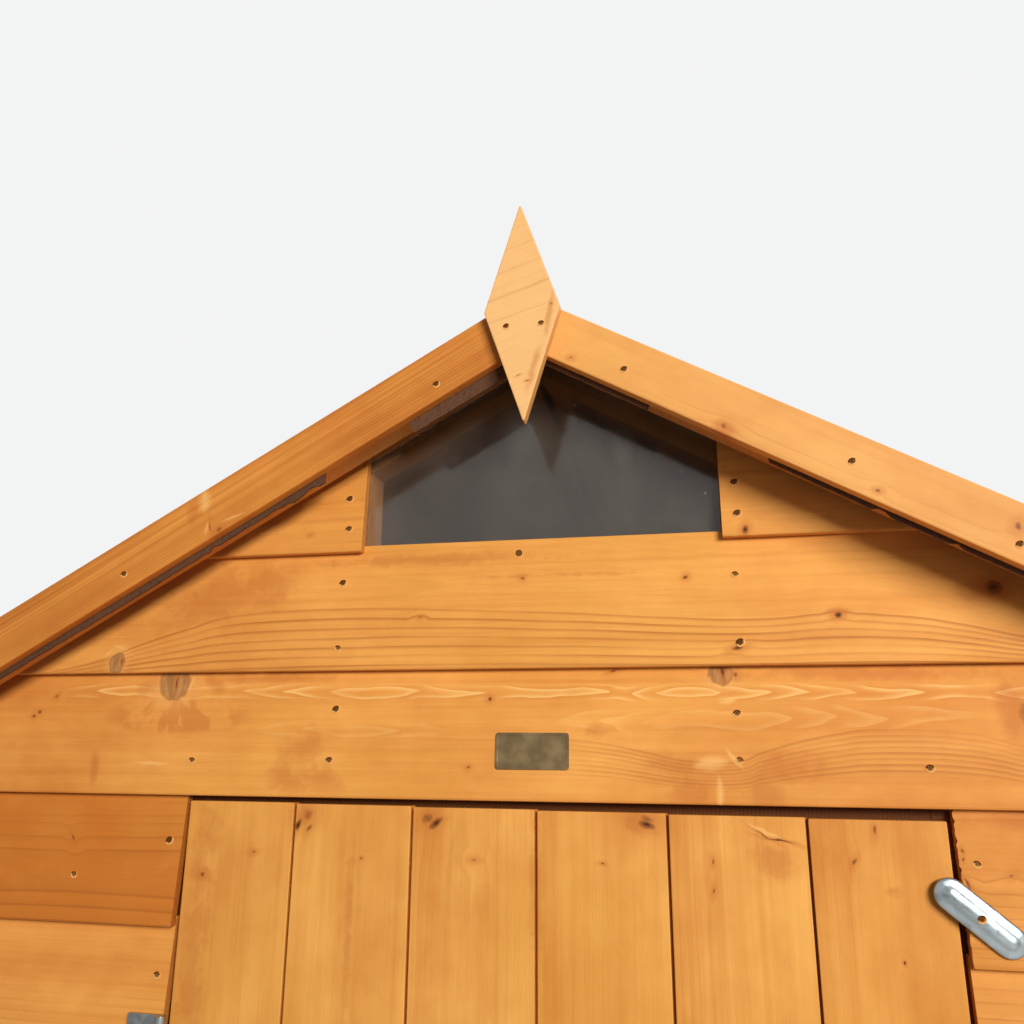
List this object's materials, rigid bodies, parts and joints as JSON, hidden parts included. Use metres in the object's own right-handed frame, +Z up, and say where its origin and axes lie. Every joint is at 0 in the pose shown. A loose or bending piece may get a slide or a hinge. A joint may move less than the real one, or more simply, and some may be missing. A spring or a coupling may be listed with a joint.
{
  "type": "wooden garden shed",
  "caption": "Small wooden garden shed with lapped boards, an apex roof in felt, an outward-opening plank door and a window in the gable.",
  "frame": {"origin": "on the ground, in the middle of the shed's footprint", "axes": "+Z up; the door and the glazed gable face -Y; +X is to the right of someone facing the door; the ridge runs along Y"},
  "size_m": [1.6364, 2.2592, 2.094],
  "materials": {
    "cladding_wood": "rough-sawn, dip treated",
    "trim_wood": "planed, dip treated",
    "door_wood": "planed, dip treated",
    "frame_wood": "sawn, dip treated",
    "deck_wood": "sheet timber",
    "roofing_felt": "mineral-surfaced bitumen felt",
    "zinc_plated_steel": "zinc plated",
    "pane": "clear plastic sheet"
  },
  "bodies": {
    "shed": {"back_cladding": "cladding_wood", "back_rafters": "frame_wood", "back_rail": "frame_wood", "back_studs": "frame_wood", "barge_board_front_left": "trim_wood", "barge_board_front_right": "trim_wood", "barge_boards_back": "trim_wood", "corner_strips": "trim_wood", "finial_back": "trim_wood", "finial_front": "trim_wood", "floor_bearers": "frame_wood", "floor_boards": "frame_wood", "front_cladding_left": "cladding_wood", "front_cladding_right": "cladding_wood", "front_posts": "frame_wood", "front_rafters": "frame_wood", "front_rails": "frame_wood", "gable_board_left": "cladding_wood", "gable_board_right": "cladding_wood", "hinge_plates": "zinc_plated_steel", "left_cladding": "cladding_wood", "left_rails": "frame_wood", "left_studs": "frame_wood", "lintel_board": "cladding_wood", "ridge_felt_cap": "roofing_felt", "right_cladding": "cladding_wood", "right_rails": "frame_wood", "right_studs": "frame_wood", "roof_battens_left": "frame_wood", "roof_battens_right": "frame_wood", "roof_deck_left": "deck_wood", "roof_deck_right": "deck_wood", "roof_felt_left": "roofing_felt", "roof_felt_right": "roofing_felt", "sill_board": "cladding_wood", "turn_button_lower": "zinc_plated_steel", "window_pane": "pane", "window_studs": "frame_wood"},
    "door": {"door_boards": "door_wood", "door_ledges": "door_wood", "door_braces": "door_wood", "hinge_straps": "zinc_plated_steel"},
    "upper_button": {"turn_button_upper": "zinc_plated_steel"}
  },
  "joints": [
    {"name": "door_swing", "type": "hinge", "parent": "shed", "child": "door", "pos_m": [-0.3385, -1.06842, 0.784], "axis": [0, 0, -1], "range_deg": [0, 100]},
    {"name": "button_turn", "type": "hinge", "parent": "shed", "child": "upper_button", "pos_m": [0.35, -1.06392, 1.459], "axis": [0, -1, 0], "range_deg": [-50, 0]}
  ],
  "couplings": [
    {"joint": "button_turn", "follows": "door_swing", "ratio": -0.5}
  ]
}
